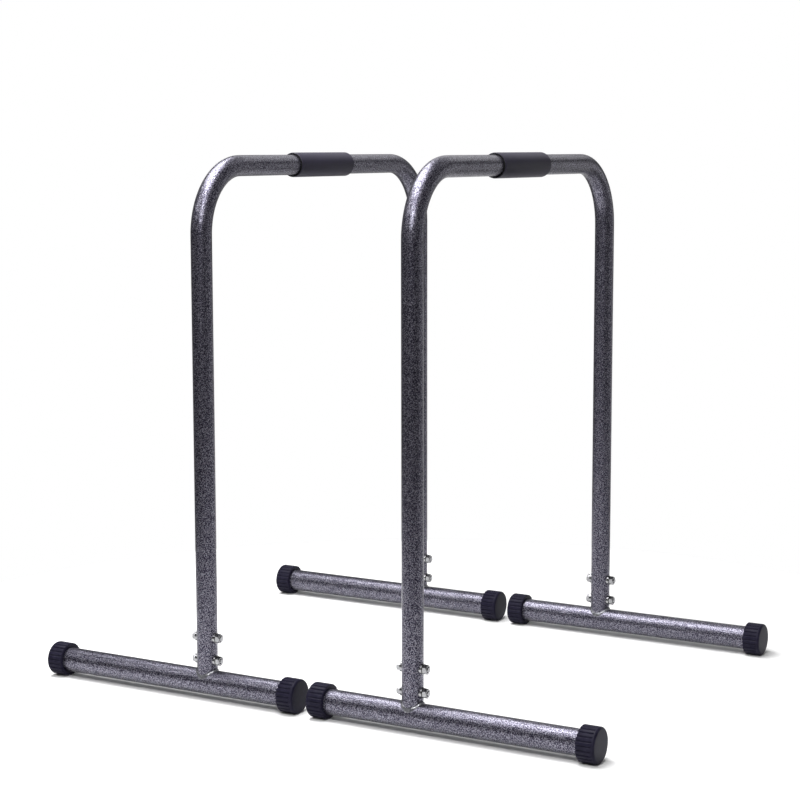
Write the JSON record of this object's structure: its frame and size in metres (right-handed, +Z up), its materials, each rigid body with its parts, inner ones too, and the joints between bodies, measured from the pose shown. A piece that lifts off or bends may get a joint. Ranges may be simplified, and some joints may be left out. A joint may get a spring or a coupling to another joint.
{
  "type": "parallel bars",
  "caption": "Pair of free-standing dip stands: each a bent tube bar with a rubber grip, bolted to two base tubes with ribbed rubber end caps.",
  "frame": {"origin": "on the floor, at the centre of the pair's footprint", "axes": "+X runs along the base tubes from the left stand to the right one, +Y runs along the bars, +Z is up"},
  "size_m": [0.95, 0.712, 0.8285],
  "materials": {
    "frame_paint": "dark violet-grey hammertone paint with metal flake, glossy with a fine mottled relief",
    "grip_rubber": "smooth satin black sleeve",
    "cap_rubber": "satin near-black moulded rubber with lengthwise ribs",
    "hardware_zinc": "zinc-plated steel"
  },
  "bodies": {
    "left_stand": {"left_bar_frame": "frame_paint", "left_grip": "grip_rubber", "left_near_base_tube": "frame_paint", "left_near_stub": "frame_paint", "left_near_weld_bead": "frame_paint", "left_near_outer_cap": "cap_rubber", "left_near_inner_cap": "cap_rubber", "left_near_lower_bolt": "hardware_zinc", "left_near_lower_nut": "hardware_zinc", "left_near_lower_nut_washer": "hardware_zinc", "left_near_lower_head_washer": "hardware_zinc", "left_near_upper_bolt": "hardware_zinc", "left_near_upper_nut": "hardware_zinc", "left_near_upper_nut_washer": "hardware_zinc", "left_near_upper_head_washer": "hardware_zinc", "left_far_base_tube": "frame_paint", "left_far_stub": "frame_paint", "left_far_weld_bead": "frame_paint", "left_far_outer_cap": "cap_rubber", "left_far_inner_cap": "cap_rubber", "left_far_lower_bolt": "hardware_zinc", "left_far_lower_nut": "hardware_zinc", "left_far_lower_nut_washer": "hardware_zinc", "left_far_lower_head_washer": "hardware_zinc", "left_far_upper_bolt": "hardware_zinc", "left_far_upper_nut": "hardware_zinc", "left_far_upper_nut_washer": "hardware_zinc", "left_far_upper_head_washer": "hardware_zinc"},
    "right_stand": {"right_bar_frame": "frame_paint", "right_grip": "grip_rubber", "right_near_base_tube": "frame_paint", "right_near_stub": "frame_paint", "right_near_weld_bead": "frame_paint", "right_near_outer_cap": "cap_rubber", "right_near_inner_cap": "cap_rubber", "right_near_lower_bolt": "hardware_zinc", "right_near_lower_nut": "hardware_zinc", "right_near_lower_nut_washer": "hardware_zinc", "right_near_lower_head_washer": "hardware_zinc", "right_near_upper_bolt": "hardware_zinc", "right_near_upper_nut": "hardware_zinc", "right_near_upper_nut_washer": "hardware_zinc", "right_near_upper_head_washer": "hardware_zinc", "right_far_base_tube": "frame_paint", "right_far_stub": "frame_paint", "right_far_weld_bead": "frame_paint", "right_far_outer_cap": "cap_rubber", "right_far_inner_cap": "cap_rubber", "right_far_lower_bolt": "hardware_zinc", "right_far_lower_nut": "hardware_zinc", "right_far_lower_nut_washer": "hardware_zinc", "right_far_lower_head_washer": "hardware_zinc", "right_far_upper_bolt": "hardware_zinc", "right_far_upper_nut": "hardware_zinc", "right_far_upper_nut_washer": "hardware_zinc", "right_far_upper_head_washer": "hardware_zinc"}
  },
  "joints": [
    {"name": "right_stand_slide", "type": "slide", "parent": "left_stand", "child": "right_stand", "axis": [1, 0, 0], "range_m": [0, 0.3]}
  ]
}
